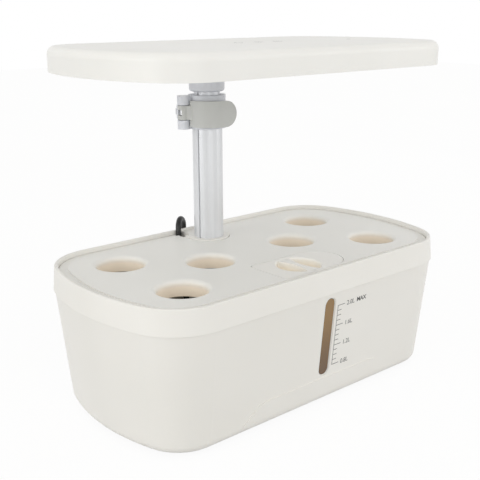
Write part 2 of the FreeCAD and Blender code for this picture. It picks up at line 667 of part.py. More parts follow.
def make_cover():
    """Filler cover with a round finger recess and an hourglass grip bar across it."""
    cover = new_body("filler_cover")
    gx = "(filler_x + grip_shift)"
    plate = sketch(cover, "cover_plate", DECK_TOP + " - cover_thick")
    filler_outline(plate, "0")
    pad(cover, plate, "cover_thick")
    bowl = sketch(cover, "cover_bowl", DECK_TOP + " - grip_depth - grip_wall")
    circle(bowl, gx, "filler_y", "grip_radius + grip_wall")
    pad(cover, bowl, "grip_depth + grip_wall - cover_thick / 2")
    pit = sketch(cover, "cover_pit", DECK_TOP)
    circle(pit, gx, "filler_y", "grip_radius")
    pocket(cover, pit, "grip_depth")
    mouth = num(DECK_TOP)
    dress(cover, "Fillet", "cover_mouth", "grip_lip",
          lambda edge: flat_at(edge, mouth) and abs(edge.Length - 2 * math.pi * num("grip_radius")) < 0.1)
    bar = sketch(cover, "cover_grip", DECK_TOP + " - grip_depth - grip_wall / 2")
    reach = "(grip_radius + grip_wall / 2)"
    end = "sqrt(%s^2 - grip_end^2)" % reach
    curve = "(((%s)^2 + (grip_end - grip_waist)^2) / (2 * (grip_end - grip_waist)))" % end
    outline(bar, [("%s - grip_end" % gx, "filler_y - " + end), ("%s + grip_end" % gx, "filler_y - " + end),
                  ("arc", "%s + grip_waist + %s" % (gx, curve), "filler_y", -1),
                  ("%s + grip_end" % gx, "filler_y + " + end), ("%s - grip_end" % gx, "filler_y + " + end),
                  ("arc", "%s - grip_waist - %s" % (gx, curve), "filler_y", -1)])
    pad(cover, bar, "grip_depth + grip_wall / 2 - grip_drop")
    return cover


def polar(radius, angle, across="0"):
    """Point at a radius and angle round the mast axis, shifted sideways by across."""
    x = "((%s) * cos(%s) - (%s) * sin(%s))" % (radius, angle, across, angle)
    y = "(mast_y + (%s) * sin(%s) + (%s) * cos(%s))" % (radius, angle, across, angle)
    return x, y


def key_bar(sk, inner, outer, half):
    """Small rectangle across the wall of a tube in the direction of the key."""
    turn = "(key_angle * 1deg)"
    outline(sk, [polar(inner, turn, "-(%s)" % half), polar(outer, turn, "-(%s)" % half),
                 polar(outer, turn, half), polar(inner, turn, half)])


def make_mast():
    outer = new_body("mast_outer_tube")
    ring = sketch(outer, "outer_ring", "socket_floor")
    circle(ring, "0", "mast_y", "outer_radius")
    circle(ring, "0", "mast_y", "outer_radius - outer_wall")
    pad(outer, ring, "outer_top - socket_floor")
    key = sketch(outer, "outer_key", "socket_floor")
    key_bar(key, "outer_radius - outer_wall - key_depth", "outer_radius - outer_wall / 2", "key_half")
    pad(outer, key, "outer_top - socket_floor")
    groove = sketch(outer, "outer_groove", "outer_top")
    key_bar(groove, "outer_radius - key_depth", "outer_radius + 1", "key_half / 2")
    pocket(outer, groove, "outer_top - socket_floor")
    inner = new_body("mast_inner_tube")
    top = "(head_high - head_wall - 3)"
    body_ring = sketch(inner, "inner_ring", "inner_low")
    circle(body_ring, "0", "mast_y", "inner_radius")
    circle(body_ring, "0", "mast_y", "inner_radius - inner_wall")
    pad(inner, body_ring, top + " - inner_low")
    fold = sketch(inner, "inner_fold", "inner_low")
    key_bar(fold, "inner_radius - key_depth - 2 * inner_wall - slide_gap",
            "inner_radius - inner_wall / 2", "key_half + slide_gap + inner_wall")
    pad(inner, fold, top + " - inner_low")
    channel = sketch(inner, "inner_groove", top)
    key_bar(channel, "outer_radius - outer_wall - key_depth - slide_gap", "inner_radius + 1",
            "key_half + slide_gap")
    pocket(inner, channel, top + " - inner_low")
    slider = new_body("mast_slider")
    slide = sketch(slider, "slider_ring", "inner_low - slider_height")
    circle(slide, "0", "mast_y", "outer_radius - outer_wall - slider_fit")
    circle(slide, "0", "mast_y", "inner_radius - key_depth - 2 * inner_wall - slide_gap - 1")
    pad(slider, slide, "slider_height")
    gap = sketch(slider, "slider_groove", "inner_low")
    key_bar(gap, "outer_radius - outer_wall - key_depth - slide_gap", "outer_radius", "key_half + slide_gap")
    pocket(slider, gap, "slider_height")


# Direction from the mast axis to the clamp pin, and the distance between them
PIN_TURN = "(180deg - atan(pin_y / -pin_x))"
PIN_REACH = "sqrt(pin_x^2 + pin_y^2)"


def clamp_point(along, across):
    """Point in the frame of the pin: along the line from the mast to the pin, and across it."""
    return polar(along, PIN_TURN, across)


def make_clamp():
    collar = new_body("clamp_collar")
    pin = clamp_point(PIN_REACH, "0")
    round_body = sketch(collar, "collar_round", "clamp_low")
    circle(round_body, "0", "mast_y", "clamp_radius")
    pad(collar, round_body, "clamp_high - clamp_low")
    for name, height in (("lug_low", "clamp_low"), ("lug_high", "clamp_high - lug_height")):
        lug = sketch(collar, name, height)
        outline(lug, [clamp_point("clamp_radius - 3", "2.2"), clamp_point(PIN_REACH, "2.2"),
                      clamp_point(PIN_REACH, "-lug_radius"), clamp_point("clamp_radius - 3", "-lug_radius")])
        pad(collar, lug, "lug_height")
        eye = sketch(collar, name + "_eye", height)
        circle(eye, pin[0], pin[1], "lug_radius")
        pad(collar, eye, "lug_height")
    ear = sketch(collar, "free_ear", "clamp_low + lug_height + run_gap")
    near, far = "-(lug_radius + run_gap)", "-(lug_radius + run_gap + ear_thick)"
    outline(ear, [clamp_point("clamp_radius - 4", near), clamp_point(PIN_REACH + " + ear_reach", near),
                  clamp_point(PIN_REACH + " + ear_reach", far), clamp_point("clamp_radius - 4", far)])
    pad(collar, ear, "clamp_high - clamp_low - 2 * lug_height - 2 * run_gap")
    slit = sketch(collar, "collar_slit", "clamp_high + 1")
    mid = "-(lug_radius + run_gap - clamp_slit / 2)"
    near, far = mid + " - clamp_slit / 2", mid + " + clamp_slit / 2"
    outline(slit, [clamp_point("4", near), clamp_point("clamp_radius + 1", near),
                   clamp_point("clamp_radius + 1", far), clamp_point("4", far)])
    pocket(collar, slit, "clamp_high - clamp_low + 2")
    wide = sketch(collar, "collar_bore_low", "outer_top + 0.2")
    circle(wide, "0", "mast_y", "outer_radius + clamp_fit")
    pocket(collar, wide, "outer_top + 1 - clamp_low")
    narrow = sketch(collar, "collar_bore_high", "clamp_high")
    circle(narrow, "0", "mast_y", "inner_radius + clamp_fit")
    pocket(collar, narrow, "clamp_high - outer_top + 1")
    hinge = sketch(collar, "collar_pin_hole", "clamp_high")
    circle(hinge, pin[0], pin[1], "pin_radius")
    pocket(collar, hinge, "clamp_high - clamp_low")
    pin_body = new_body("clamp_pin")
    pin_plan = sketch(pin_body, "pin_plan", "clamp_low")
    circle(pin_plan, pin[0], pin[1], "pin_radius - 0.02")
    pad(pin_body, pin_plan, "clamp_high - clamp_low")
    make_tension_bolt()
    make_lever(pin)


def make_tension_bolt():
    """Barrel round the clamp pin with a bolt through the free ear, and its nut."""
    bolt = new_body("clamp_bolt")
    middle = "((clamp_low + clamp_high) / 2)"
    ear = "(lug_radius + run_gap + ear_thick)"
    barrel = sketch(bolt, "bolt_barrel", middle + " - 1.8 * bolt_half")
    pin = clamp_point(PIN_REACH, "0")
    circle(barrel, pin[0], pin[1], "pin_radius + 1.3 * bolt_half")
    pad(bolt, barrel, "3.6 * bolt_half")
    shank = sketch(bolt, "bolt_shank", middle + " - bolt_half")
    tip = "-(%s + nut_thick + bolt_end)" % ear
    outline(shank, [clamp_point(PIN_REACH + " - bolt_half", "-1.2 * pin_radius"),
                    clamp_point(PIN_REACH + " + bolt_half", "-1.2 * pin_radius"),
                    clamp_point(PIN_REACH + " + bolt_half", tip), clamp_point(PIN_REACH + " - bolt_half", tip)])
    pad(bolt, shank, "2 * bolt_half")
    hole = sketch(bolt, "bolt_pin_hole", middle + " + 2 * bolt_half")
    circle(hole, pin[0], pin[1], "pin_radius + 0.03")
    pocket(bolt, hole, "4 * bolt_half")
    nut = new_body("clamp_nut")
    block = sketch(nut, "nut_block", middle + " - nut_half")
    rear = "-(%s + nut_thick)" % ear
    outline(block, [clamp_point(PIN_REACH + " - nut_half", "-" + ear),
                    clamp_point(PIN_REACH + " + nut_half", "-" + ear),
                    clamp_point(PIN_REACH + " + nut_half", rear), clamp_point(PIN_REACH + " - nut_half", rear)])
    pad(nut, block, "2 * nut_half")
    hollow = "(bolt_half + 0.1)"
    for body in (nut, doc.getObject("clamp_collar")):
        way = sketch(body, body.Name + "_bolt_way", middle + " + " + hollow)
        near, far = "-(lug_radius + run_gap / 2)", "-(%s + nut_thick + 1)" % ear
        outline(way, [clamp_point(PIN_REACH + " - " + hollow, near), clamp_point(PIN_REACH + " + " + hollow, near),
                      clamp_point(PIN_REACH + " + " + hollow, far), clamp_point(PIN_REACH + " - " + hollow, far)])
        pocket(body, way, "2 * " + hollow)


def make_lever(pin):
    """Lever: knuckle between the lugs, plate round the front of the collar and a round thumb tab."""
    lever = new_body("clamp_lever")
    near = "(clamp_radius + lever_gap)"
    far = "(clamp_radius + lever_gap + lever_thick)"
    plate = sketch(lever, "lever_plate", "lever_low")
    outline(plate, [("-" + near, "mast_y - 0.6"), ("-" + far, "mast_y - 0.6"), ("-" + far, "lever_y"),
                    ("arc", "0", "lever_y", 1), ("0", "lever_y - " + far),
                    ("lever_reach", "lever_y - " + far), ("lever_reach", "lever_y - " + near),
                    ("0", "lever_y - " + near), ("arc", "0", "lever_y", -1),
                    ("-" + near, "lever_y")])
    pad(lever, plate, "lever_high - lever_low")
    rear = "-(lever_y - clamp_radius - lever_gap + 1)"
    trim = sketch(lever, "lever_tab", rear, "XZ_Plane")
    half = "((lever_high - lever_low) / 2)"
    middle = "((lever_high + lever_low) / 2)"
    centre = "(lever_reach - %s)" % half
    outline(trim, [(centre, "lever_high"), ("arc", centre, middle, -1), ("lever_reach", middle),
                   ("lever_reach + 1", middle), ("lever_reach + 1", "lever_high + 1"), (centre, "lever_high + 1")])
    outline(trim, [(centre, "lever_low"), (centre, "lever_low - 1"), ("lever_reach + 1", "lever_low - 1"),
                   ("lever_reach + 1", middle + " - 0.01"), ("lever_reach", middle + " - 0.01"),
                   ("arc", centre, middle, -1)])
    pocket(lever, trim, "lever_thick + 3", reverse=True)
    low = "(clamp_low + lug_height + run_gap)"
    tall = "(clamp_high - clamp_low - 2 * lug_height - 2 * run_gap)"
    knuckle = sketch(lever, "lever_knuckle", low)
    circle(knuckle, pin[0], pin[1], "lug_radius - 0.2")
    pad(lever, knuckle, tall)
    web = sketch(lever, "lever_web", low)
    outline(web, [("-" + near + " - 0.2", "mast_y - 2.2"), (pin[0], pin[1]),
                  (pin[0] + " - lug_radius + 0.4", pin[1]), ("-" + far, "mast_y - 2.6")])
    pad(lever, web, tall)
    eye = sketch(lever, "lever_eye", "clamp_high")
    circle(eye, pin[0], pin[1], "pin_radius + 0.05")
    pocket(lever, eye, "clamp_high - clamp_low")
    slot_mid = "((clamp_low + clamp_high) / 2)"
    gap = sketch(lever, "lever_barrel_gap", slot_mid + " + 2")
    outline(gap, [clamp_point(PIN_REACH + " - 7", "3"), clamp_point(PIN_REACH + " + 7", "3"),
                  clamp_point(PIN_REACH + " + 7", "-6"), clamp_point(PIN_REACH + " - 7", "-6")])
    pocket(lever, gap, "4")


def make_head():
    shell = new_body("head_shell")
    outside = sketch(shell, "shell_plan", "head_low")
    head_plan(outside, "0")
    pad(shell, outside, "head_high - head_low")
    top_z = num("head_high")
    dress(shell, "Fillet", "shell_round", "head_round", lambda edge: flat_at(edge, top_z))
    inside = sketch(shell, "shell_inside", "head_low")
    head_plan(inside, "-head_wall")
    pocket(shell, inside, "head_high - head_low - head_round", reverse=True)
    roof = sketch(shell, "shell_roof", "head_low")
    head_plan(roof, "-(head_wall + head_round - 1)")
    pocket(shell, roof, "head_high - head_low - head_wall", reverse=True)
    posts = sketch(shell, "shell_posts", "head_low + frame_thick")
    for x, y in head_screw_places():
        circle(posts, x, y, "2.6")
    pad(shell, posts, "head_high - head_wall - head_low - frame_thick + 0.2")
    boss = sketch(shell, "shell_boss", "head_low + frame_thick")
    circle(boss, "0", "mast_y", "boss_radius")
    pad(shell, boss, "head_high - head_wall - head_low - frame_thick + 0.2")
    bore = sketch(shell, "shell_boss_bore", "head_low")
    circle(bore, "0", "mast_y", "inner_radius + boss_gap")
    pocket(shell, bore, "head_high - head_low - head_wall", reverse=True)
    pilots = sketch(shell, "shell_pilots", "head_low")
    for x, y in head_screw_places():
        circle(pilots, x, y, "screw_radius - screw_bite")
    pocket(shell, pilots, "frame_thick + 6", reverse=True)
    touch = sketch(shell, "touch_seat", "head_high")
    rounded(touch, "touch_x", "0", "touch_half_length + 0.1", "touch_half_width + 0.1", "3")
    circle(touch, "lamp_x", "lamp_y", "lamp_radius + 0.05")
    pocket(shell, touch, "touch_thick")
    frame = new_body("head_frame")
    plan = sketch(frame, "frame_plan", "head_low")
    head_plan(plan, "-(head_wall + frame_gap)")
    rounded(plan, "0", "glow_y", "glow_half_length", "glow_half_width", "glow_corner")
    circle(plan, "0", "mast_y", "inner_radius + boss_gap")
    for x, y in head_screw_places():
        circle(plan, x, y, "screw_radius + 0.2")
    pad(frame, plan, "frame_thick")
    fence = sketch(frame, "frame_fence", "head_low")
    reach = "glow_lip + fence_gap"
    outer = reach + " + fence_wall"
    rounded(fence, "0", "glow_y", "glow_half_length + " + outer, "glow_half_width + " + outer, "glow_corner + 4")
    rounded(fence, "0", "glow_y", "glow_half_length + " + reach, "glow_half_width + " + reach, "glow_corner + 3")
    pad(frame, fence, "board_rise")
    glow = new_body("led_diffuser")
    flange = sketch(glow, "diffuser_flange", "head_low + frame_thick")
    rounded(flange, "0", "glow_y", "glow_half_length + glow_lip", "glow_half_width + glow_lip", "glow_corner + 2")
    pad(glow, flange, "diffuser_thick")
    pane = sketch(glow, "diffuser_pane", "head_low + 0.4")
    rounded(pane, "0", "glow_y", "glow_half_length - 0.3", "glow_half_width - 0.3", "glow_corner - 0.3")
    pad(glow, pane, "frame_thick")
    board = new_body("led_board")
    plan = sketch(board, "led_board_plan", "head_low + board_rise")
    rounded(plan, "0", "glow_y", "glow_half_length + %s + 1" % reach, "glow_half_width + %s + 1" % reach, "glow_corner")
    pad(board, plan, "board_thick")
    make_chips()
    make_head_trim()


def make_chips():
    """Light chips: one column across the board, repeated along it."""
    chips = new_body("led_chips")
    column = sketch(chips, "chip_column", "head_low + board_rise - chip_height")
    x = "(-5.5 * chip_pitch_x)"
    for row in range(5):
        y = "(glow_y + (%d - 2) * chip_pitch_y)" % row
        rectangle(column, x + " - chip_half", x + " + chip_half", y + " - chip_half", y + " + chip_half")
    first = pad(chips, column, "chip_height")
    rows_of_chips = chips.newObject("PartDesign::LinearPattern", "chip_rows")
    rows_of_chips.Originals = [first]
    rows_of_chips.Direction = (column, ["H_Axis"])
    rows_of_chips.setExpression("Length", ex("11 * chip_pitch_x"))
    rows_of_chips.Occurrences = 12
    chips.Tip = rows_of_chips
    doc.recompute()


def head_screw_places():
    """Six screws that hold the bottom frame of the head."""
    places = [(sx + "(head_half_length - head_screw_inset)", sy) for sx in ("", "-") for sy in ("-head_screw_y", "head_screw_y")]
    return places + [(side, "head_half_width - side_screw_inset") for side in ("-side_screw_x", "side_screw_x")]


def make_head_trim():
    control = new_body("control_board")
    plan = sketch(control, "control_plan", "head_high - head_wall - board_thick")
    rounded(plan, "touch_x", "0", "touch_half_length + 4", "touch_half_width + 5", "1.5")
    pad(control, plan, "board_thick")
    touch = new_body("touch_panel")
    plan = sketch(touch, "touch_plan", "head_high - touch_thick")
    rounded(plan, "touch_x", "0", "touch_half_length", "touch_half_width", "3")
    pad(touch, plan, "touch_thick")
    lens = new_body("indicator_lens")
    plan = sketch(lens, "indicator_plan", "head_high - touch_thick")
    circle(plan, "lamp_x", "lamp_y", "lamp_radius")
    pad(lens, plan, "touch_thick")
    screws = new_body("head_screws")
    shank = sketch(screws, "head_screw_shank", "head_low")
    heads = sketch(screws, "head_screw_heads", "head_low - 0.9")
    for x, y in head_screw_places():
        circle(shank, x, y, "screw_radius - screw_bite")
        circle(heads, x, y, "screw_head")
    pad(screws, shank, "frame_thick + 5")
    pad(screws, heads, "0.9")
    collar = new_body("head_collar")
    ring = sketch(collar, "head_collar_ring", "collar_low")
    circle(ring, "0", "mast_y", "collar_radius")
    circle(ring, "0", "mast_y", "inner_radius + boss_gap")
    pad(collar, ring, "head_low - collar_low")
    low_z = num("collar_low")
    wide = num("collar_radius")
    dress(collar, "Fillet", "head_collar_round", "1.8",
          lambda edge: flat_at(edge, low_z) and abs(edge.Curve.Radius - wide) < 1e-4)


def make_pump():
    pump = new_body("pump_body")
    low = "(foot_stand + floor_thick + pump_feet_height)"
    plan = sketch(pump, "pump_plan", low)
    rounded(plan, "pump_x", "pump_y", "pump_half_length", "pump_half_width", "pump_corner")
    pad(pump, plan, "pump_height")
    spout = sketch(pump, "pump_spout", low + " + pump_height")
    circle(spout, "pump_x - spout_shift", "pump_y", "spout_radius")
    pad(pump, spout, "spout_height")
    bore = sketch(pump, "pump_spout_bore", low + " + pump_height + spout_height")
    circle(bore, "pump_x - spout_shift", "pump_y", "spout_bore")
    pocket(pump, bore, "spout_height + 5")
    gland = sketch(pump, "pump_gland", low + " + pump_height")
    circle(gland, "pump_x + gland_x", "pump_y + gland_y", "gland_radius")
    pad(pump, gland, "gland_height")
    face = new_body("pump_filter")
    plate = sketch(face, "filter_plate", "-(pump_y - pump_half_width)", "XZ_Plane")
    mid = low + " + pump_height / 2"
    rounded(plate, "pump_x", mid, "pump_half_length - 2", "pump_height / 2 - 2", "2")
    pad(face, plate, "3")
    slots = sketch(face, "filter_slots", "-(pump_y - pump_half_width) + 3", "XZ_Plane")
    for step in range(-3, 4):
        x = "pump_x + %d * 4" % step
        rectangle(slots, x + " - 0.8", x + " + 0.8", mid + " - 7", mid + " + 7")
    pocket(face, slots, "2")
    feet = new_body("pump_feet")
    cups = sketch(feet, "cup_plan", FLOOR_TOP)
    for sx in ("-", "+"):
        for sy in ("-", "+"):
            circle(cups, "pump_x %s 12" % sx, "pump_y %s 9" % sy, "3.4")
    pad(feet, cups, "pump_feet_height")


def lead_tube(label, route, radius):
    """Round lead along straight runs joined by tangent arcs, and its length."""
    points = [Vector(num(x), num(y), num(z)) for x, y, z in route]
    edges = []
    begin = points[0]
    for index in range(1, len(points) - 1):
        before = points[index] - points[index - 1]
        after = points[index + 1] - points[index]
        turn = before.getAngle(after)
        bend = 0.45 * min(before.Length, after.Length) / math.tan(turn / 2)
        cut = bend * math.tan(turn / 2)
        u = Vector(before).normalize()
        v = Vector(after).normalize()
        enter = points[index] - u * cut
        leave = points[index] + v * cut
        inward = (v - u).normalize()
        middle = points[index] + inward * (bend / math.cos(turn / 2) - bend)
        edges.append(Part.LineSegment(begin, enter).toShape())
        edges.append(Part.Arc(enter, middle, leave).toShape())
        print("%s bend %.1f at %d" % (label, bend, index))
        begin = leave
    edges.append(Part.LineSegment(begin, points[-1]).toShape())
    path = Part.Wire(edges)
    start = (points[1] - points[0]).normalize()
    ring = Part.Wire([Part.Circle(points[0], start, radius).toShape()])
    tube = path.makePipeShell([ring], True, False, 1)
    expected = math.pi * radius ** 2 * path.Length
    if abs(tube.Volume - expected) > 0.005 * expected:
        raise ValueError("%s: volume does not fit its length" % label)
    print("%s length %.1f" % (label, path.Length))
    made = doc.addObject("Part::Feature", label)
    made.Label = label
    made.Shape = tube
    made.Placement = Placement()
    parts.append(made)
    return path.Length


# Route of the pump lead: pump gland, along the tank floor, up the channel beside the
# mast tower, over the rim in a tight loop and down the rear wall to its plug
GLAND_TOP = "(foot_stand + floor_thick + pump_feet_height + pump_height + gland_height)"
LEAD_ROUTE = [("pump_x + gland_x", "pump_y + gland_y", GLAND_TOP),
              ("-33.6", "32.3", "41"), ("-31", "35", "49"), ("-26.6", "41", "56"),
              ("-22", "49", "61"), ("-18.6", "56", "67"), ("-14.4", "62.2", "74"),
              ("-12.8", "65.4", "82"), ("-12.5", "66.4", "90"), ("-12.5", "66.5", "97.8"),
              ("-8.2", "71", "101.7"), ("-3.6", "75.5", "97.6"), ("-2.6", "76.8", "89.5"),
              ("-1.2", "77", "78"), ("jack_x", "plug_y", "plug_top")]


def make_lead():
    lead_tube("pump_lead", LEAD_ROUTE, num("lead_radius"))
    plug = new_body("pump_plug")
    pin = wall_sketch(plug, "plug_pin", rear=True, out="1.4")
    circle(pin, "jack_x", "pump_jack_up", "jack_bore - 0.1")
    pad(plug, pin, "jack_depth")
    grip = wall_sketch(plug, "plug_grip", rear=True, out="1.2")
    circle(grip, "jack_x", "pump_jack_up", "plug_radius")
    pad(plug, grip, "plug_grip", reverse=True)
    stem = sketch(plug, "plug_stem", "plug_top")
    circle(stem, "jack_x", "plug_y", "lead_radius + 1.2")
    pad(plug, stem, "plug_stem", reverse=True)


def make_lamp_lead():
    """Coiled lamp lead inside the mast, drawn as its outer shape."""
    lead = new_body("lamp_lead")
    plan = sketch(lead, "lamp_lead_plan", "socket_floor + 0.3")
    circle(plan, "0", "mast_y", "lead_radius + 0.6")
    pad(lead, plan, "head_high - head_wall - 4 - socket_floor")
    return lead


def check_document():
    """Stop on any failed object, empty cut or bad shape."""
    doc.recompute()
    for item in doc.Objects:
        bad = [state for state in item.State if state in ("Invalid", "Error")]
        if bad:
            raise ValueError("%s is %s" % (item.Label, bad))
        if item.TypeId in ("PartDesign::Pocket", "PartDesign::Groove"):
            if item.Shape.Volume >= item.BaseFeature.Shape.Volume - 1e-3:
                raise ValueError("%s cuts nothing" % item.Label)
    for part in parts:
        if part.Shape.isNull() or not part.Shape.isValid() or not part.Shape.Solids:
            raise ValueError("%s has no valid solid" % part.Label)


def main():
    make_tub()
    make_feet()
    make_window()
    make_sockets()
    make_deck()
    make_cover()
    make_mast()
    make_clamp()
    make_head()
    make_pump()
    make_lead()
    make_lamp_lead()
    check_document()
    os.makedirs("parts", exist_ok=True)
    for part in parts:
        part.Shape.exportStep("parts/%s.step" % part.Label)
        box = part.Shape.BoundBox
        print("%-18s solids %2d volume %9.0f z %.1f to %.1f" % (
            part.Label, len(part.Shape.Solids), part.Shape.Volume, box.ZMin, box.ZMax))


main()
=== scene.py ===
import math

import bmesh
import bpy
from mathutils import Matrix, Vector


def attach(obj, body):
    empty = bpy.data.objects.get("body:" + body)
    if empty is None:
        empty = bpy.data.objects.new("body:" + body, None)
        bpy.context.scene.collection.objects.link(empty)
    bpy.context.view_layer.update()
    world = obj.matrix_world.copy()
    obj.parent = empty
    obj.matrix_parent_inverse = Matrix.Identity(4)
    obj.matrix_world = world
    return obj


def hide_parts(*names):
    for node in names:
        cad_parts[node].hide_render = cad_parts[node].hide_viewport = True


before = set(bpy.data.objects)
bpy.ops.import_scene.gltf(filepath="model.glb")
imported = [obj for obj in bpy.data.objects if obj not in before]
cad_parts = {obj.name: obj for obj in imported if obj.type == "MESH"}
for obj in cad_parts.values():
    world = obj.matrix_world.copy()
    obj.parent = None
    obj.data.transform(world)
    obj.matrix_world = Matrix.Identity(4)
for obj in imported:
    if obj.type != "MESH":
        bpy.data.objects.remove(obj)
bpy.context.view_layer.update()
MM = 0.001  # one millimetre in metres

# Camera fitted to the photograph: place in metres, turns in degrees, lens and sensor in millimetres
CAMERA_PLACE = (-0.3577, -0.4002, 0.2500)
CAMERA_YAW = 40.87
CAMERA_PITCH = 15.76
CAMERA_ROLL = -0.28
CAMERA_LENS = 61.46
CAMERA_SENSOR = 36.0

# Front wall of the tank in millimetres: from its foot it leans outwards by WALL_OUT over WALL_RISE
WALL_FOOT_Y = -63.8
WALL_FOOT_Z = 1.0
WALL_OUT = 7.9
WALL_RISE = 77.3
WALL_LEAN = math.atan(WALL_OUT / WALL_RISE)

# Heights in metres between which the daylight in the thin plastic fades out, and its strength
DECK_FADE = (0.0860, 0.0915)
DECK_GLOW = 0.12
COVER_FADE = (0.0835, 0.0912)
COVER_GLOW = 0.09

# Heights in metres between which the painted shade of the water in the gauge goes from its dark to its
# light tone
GAUGE_FADE = (0.022, 0.070)

GRAIN_DEPTH = 0.0002  # depth of every surface grain, in metres
SHARP_ANGLE = 32  # degrees between two faces from which their edge is shaded sharp

# Colour sockets of the mix node, which have the same names as its number sockets
MIX_A, MIX_B, MIX_RESULT = 6, 7, 2


def linear(r, g, b):
    """Scene colour for a screen colour given in 0 to 255, by the sRGB curve."""
    def one(c):
        c = c / 255
        return c / 12.92 if c <= 0.04045 else ((c + 0.055) / 1.055) ** 2.4
    return (one(r), one(g), one(b), 1.0)


class Shader:
    """Small helper that builds one node material."""

    def __init__(self, name):
        self.material = bpy.data.materials.new(name)
        self.material.use_nodes = True
        self.tree = self.material.node_tree
        self.surface = self.tree.nodes["Principled BSDF"]
        self.place = self.add("ShaderNodeTexCoord").outputs["Object"]

    def add(self, kind, **values):
        """New node with the given settings."""
        node = self.tree.nodes.new(kind)
        for key, value in values.items():
            setattr(node, key, value)
        return node

    def link(self, a, b):
        """Join an output to an input."""
        self.tree.links.new(a, b)

    def noise(self, scale, detail=3.0, rough=0.55, stretch=None):
        """Cloudy factor over the object, drawn out along an axis when stretch is given."""
        node = self.add("ShaderNodeTexNoise")
        node.inputs["Scale"].default_value = scale
        node.inputs["Detail"].default_value = detail
        node.inputs["Roughness"].default_value = rough
        source = self.place
        if stretch:
            mapping = self.add("ShaderNodeMapping")
            mapping.inputs["Scale"].default_value = stretch
            self.link(self.place, mapping.inputs["Vector"])
            source = mapping.outputs["Vector"]
        self.link(source, node.inputs["Vector"])
        return node.outputs["Fac"]

    def spread(self, factor, low, high, a, b):
        """Colour that goes from a to b while the factor goes from low to high."""
        ramp = self.add("ShaderNodeValToRGB")
        ramp.color_ramp.elements[0].position = low
        ramp.color_ramp.elements[1].position = high
        ramp.color_ramp.elements[0].color = a
        ramp.color_ramp.elements[1].color = b
        self.link(factor, ramp.inputs["Fac"])
        return ramp.outputs["Color"]

    def number(self, factor, a, b):
        """Number that goes from a to b while the factor goes from 0 to 1."""
        node = self.add("ShaderNodeMapRange")
        node.inputs["To Min"].default_value = a
        node.inputs["To Max"].default_value = b
        self.link(factor, node.inputs["Value"])
        return node.outputs["Result"]

    def mix(self, factor, a, b):
        """Colour between a and b, each of them a colour or an output."""
        node = self.add("ShaderNodeMix", data_type="RGBA")
        self.link(factor, node.inputs["Factor"])
        self.put(a, node.inputs[MIX_A])
        self.put(b, node.inputs[MIX_B])
        return node.outputs[MIX_RESULT]

    def put(self, value, socket):
        """Give an input a value, or join an output to it."""
        if isinstance(value, bpy.types.NodeSocket):
            self.link(value, socket)
        else:
            socket.default_value = value

    def height(self):
        """Height in object space, in metres."""
        node = self.add("ShaderNodeSeparateXYZ")
        self.link(self.place, node.inputs["Vector"])
        return node.outputs["Z"]

    def step(self, value, low, high):
        """0 below low, 1 above high, smooth between."""
        node = self.add("ShaderNodeMapRange", interpolation_type="SMOOTHSTEP")
        node.inputs["From Min"].default_value = low
        node.inputs["From Max"].default_value = high
        self.link(value, node.inputs["Value"])
        return node.outputs["Result"]

    def bump(self, factor, strength):
        """Grain on the surface from a factor."""
        node = self.add("ShaderNodeBump")
        node.inputs["Strength"].default_value = strength
        node.inputs["Distance"].default_value = GRAIN_DEPTH
        self.link(factor, node.inputs["Height"])
        self.link(node.outputs["Normal"], self.surface.inputs["Normal"])


def moulded(name, light, dark, rough=0.42):
    """Satin moulded plastic: faint cloudy colour, fine grain and uneven gloss."""
    s = Shader(name)
    cloud = s.noise(9.0, 2.0)
    s.link(s.spread(cloud, 0.3, 0.75, dark, light), s.surface.inputs["Base Color"])
    s.link(s.number(s.noise(60.0, 4.0), rough - 0.05, rough + 0.08), s.surface.inputs["Roughness"])
    s.surface.inputs["Specular IOR Level"].default_value = 0.4
    s.surface.inputs["Subsurface Weight"].default_value = 0.06
    s.surface.inputs["Subsurface Radius"].default_value = (0.004, 0.0035, 0.003)
    s.bump(s.noise(900.0, 2.0), 0.05)
    return s


def warm_below(s, warm, fade, strength):
    """Daylight that thin walls let through: a warm tone and a glow below the fading heights."""
    cloud = s.surface.inputs["Base Color"].links[0].from_socket
    level = s.step(s.height(), *fade)
    s.link(s.mix(level, warm, cloud), s.surface.inputs["Base Color"])
    s.surface.inputs["Emission Color"].default_value = linear(250, 230, 200)
    s.link(s.number(level, strength, 0.0), s.surface.inputs["Emission Strength"])


def deck_plastic():
    """Deck: cool off-white on top, warm where light comes through the thin sleeves."""
    s = moulded("deck_plastic", linear(243, 242, 238), linear(238, 237, 232), rough=0.45)
    warm_below(s, linear(243, 232, 216), DECK_FADE, DECK_GLOW)
    return s


def cover_plastic():
    """Filler cover: off-white, with painted warm light and a painted glow at the bottom of its grip
    spaces.
    """
    s = moulded("cover_plastic", linear(244, 243, 238), linear(240, 238, 233), rough=0.42)
    warm_below(s, linear(246, 239, 224), COVER_FADE, COVER_GLOW)
    return s


def tube_metal():
    """Satin anodised tube with fine draw lines along its length."""
    s = Shader("tube_metal")
    lines = s.noise(420.0, 3.0, 0.6, stretch=(1.0, 1.0, 0.01))
    s.link(s.spread(lines, 0.25, 0.8, linear(212, 214, 217), linear(228, 229, 231)),
           s.surface.inputs["Base Color"])
    s.surface.inputs["Metallic"].default_value = 0.35
    s.link(s.number(lines, 0.30, 0.42), s.surface.inputs["Roughness"])
    s.bump(lines, 0.08)
    return s


def bright_steel():
    """Plated steel of screws, pin, bolt and nut."""
    s = Shader("bright_steel")
    s.link(s.spread(s.noise(300.0), 0.3, 0.8, linear(196, 197, 198), linear(218, 219, 220)),
           s.surface.inputs["Base Color"])
    s.surface.inputs["Metallic"].default_value = 1.0
    s.link(s.number(s.noise(900.0), 0.25, 0.4), s.surface.inputs["Roughness"])
    return s


